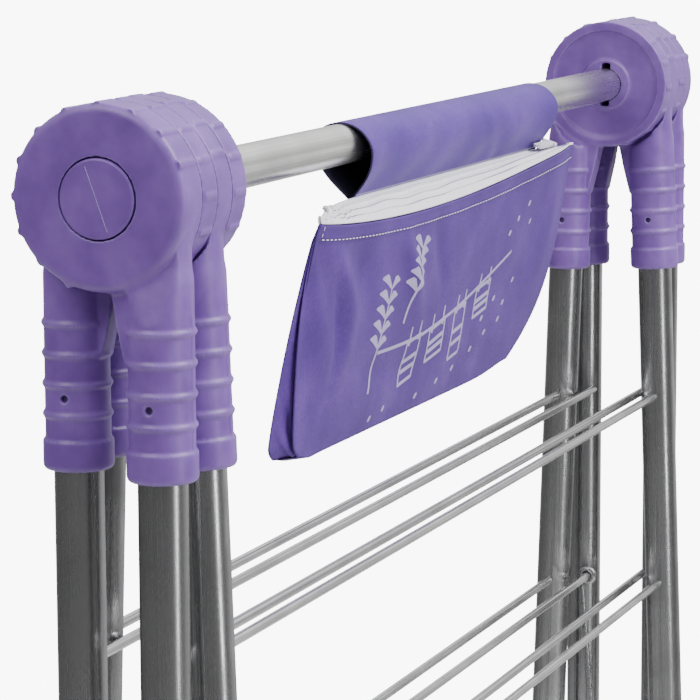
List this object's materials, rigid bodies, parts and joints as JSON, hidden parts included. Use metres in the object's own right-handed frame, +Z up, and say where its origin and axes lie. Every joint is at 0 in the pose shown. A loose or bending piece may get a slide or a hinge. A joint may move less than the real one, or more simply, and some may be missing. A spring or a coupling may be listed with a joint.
{
  "type": "folding clothes airer",
  "caption": "Free-standing folding clothes airer with hinged leg frames, swing-out drying wings, stay wires and a zipped peg bag on its top bar.",
  "frame": {"origin": "on the floor, midway between the four feet, right under the top bar", "axes": "+X along the top bar, -Y towards the front legs, +Z up"},
  "size_m": [0.7304, 0.1062, 1.0766],
  "materials": {
    "knuckle_plastic": "moulded polypropylene, semi-matt purple",
    "tube_steel": "stainless steel tube, fine lengthwise polish",
    "rod_steel": "stainless steel rod, satin",
    "stay_steel": "drawn stainless wire",
    "pin_steel": "plain steel pin",
    "washer_nylon": "natural nylon",
    "foot_rubber": "soft moulded rubber, purple",
    "tip_plastic": "moulded polypropylene, semi-matt purple",
    "bag_fabric": "woven polyester with a thin coating",
    "zip_tape": "white woven zip tape with nylon coil",
    "slider_metal": "white enamelled zip slider"
  },
  "bodies": {
    "top_rail": {"cap_washer_left": "washer_nylon", "cap_washer_right": "washer_nylon", "end_cap_left": "knuckle_plastic", "end_cap_right": "knuckle_plastic", "top_bar": "tube_steel"},
    "front_legs": {"front_foot_left": "foot_rubber", "front_foot_right": "foot_rubber", "front_leg_knuckle_left": "knuckle_plastic", "front_leg_knuckle_right": "knuckle_plastic", "front_leg_pins": "pin_steel", "front_leg_rods": "rod_steel", "front_leg_stretcher": "rod_steel", "front_leg_tube_left": "tube_steel", "front_leg_tube_right": "tube_steel"},
    "back_legs": {"back_foot_left": "foot_rubber", "back_foot_right": "foot_rubber", "back_leg_knuckle_left": "knuckle_plastic", "back_leg_knuckle_right": "knuckle_plastic", "back_leg_pins": "pin_steel", "back_leg_rods": "rod_steel", "back_leg_stretcher": "rod_steel", "back_leg_tube_left": "tube_steel", "back_leg_tube_right": "tube_steel"},
    "front_wing": {"front_wing_knuckle_left": "knuckle_plastic", "front_wing_knuckle_right": "knuckle_plastic", "front_wing_pins": "pin_steel", "front_wing_rods": "rod_steel", "front_wing_tip_left": "tip_plastic", "front_wing_tip_right": "tip_plastic", "front_wing_tube_left": "tube_steel", "front_wing_tube_right": "tube_steel"},
    "back_wing": {"back_wing_knuckle_left": "knuckle_plastic", "back_wing_knuckle_right": "knuckle_plastic", "back_wing_pins": "pin_steel", "back_wing_rods": "rod_steel", "back_wing_tip_left": "tip_plastic", "back_wing_tip_right": "tip_plastic", "back_wing_tube_left": "tube_steel", "back_wing_tube_right": "tube_steel"},
    "left_stay": {"stay_wire_left": "stay_steel"},
    "right_stay": {"stay_wire_right": "stay_steel"},
    "bag": {"peg_bag": "bag_fabric", "bag_sleeve": "bag_fabric", "zip_tape": "zip_tape"},
    "zip_slider": {"zip_slider": "slider_metal"},
    "zip_puller": {"zip_puller": "slider_metal"}
  },
  "joints": [
    {"name": "back_legs_hinge", "type": "hinge", "parent": "top_rail", "child": "back_legs", "pos_m": [0, 0, 1.04], "axis": [1, 0, 0], "range_deg": [0, 15.39]},
    {"name": "front_legs_hinge", "type": "hinge", "parent": "top_rail", "child": "front_legs", "pos_m": [0, 0, 1.04], "axis": [-1, 0, 0], "range_deg": [0, 15.39]},
    {"name": "left_stay_hinge", "type": "hinge", "parent": "back_legs", "child": "left_stay", "pos_m": [-0.3237, 0.0143, 0.754], "axis": [-1, 0, 0], "range_deg": [0, 59]},
    {"name": "right_stay_hinge", "type": "hinge", "parent": "back_legs", "child": "right_stay", "pos_m": [0.3237, 0.0143, 0.754], "axis": [-1, 0, 0], "range_deg": [0, 59]},
    {"name": "front_wing_hinge", "type": "hinge", "parent": "front_legs", "child": "front_wing", "pos_m": [0, 0, 1.04], "axis": [-1, 0, 0], "range_deg": [0, 73]},
    {"name": "back_wing_hinge", "type": "hinge", "parent": "back_legs", "child": "back_wing", "pos_m": [0, 0, 1.04], "axis": [1, 0, 0], "range_deg": [0, 73]},
    {"name": "bag_swing", "type": "hinge", "parent": "top_rail", "child": "bag", "pos_m": [0.0055, 0, 1.04], "axis": [1, 0, 0], "range_deg": [-40, 40]},
    {"name": "zip_slide", "type": "slide", "parent": "bag", "child": "zip_slider", "axis": [-1, 0, 0], "range_m": [0, 0.29]},
    {"name": "puller_hinge", "type": "hinge", "parent": "zip_slider", "child": "zip_puller", "pos_m": [0.172, -0.00799, 1.01798], "axis": [0, 0.9487, 0.3162], "range_deg": [0, 180]}
  ],
  "couplings": [
    {"joint": "front_legs_hinge", "follows": "back_legs_hinge", "ratio": 1},
    {"joint": "left_stay_hinge", "follows": "back_legs_hinge", "ratio": 3.8233},
    {"joint": "right_stay_hinge", "follows": "back_legs_hinge", "ratio": 3.8233}
  ]
}
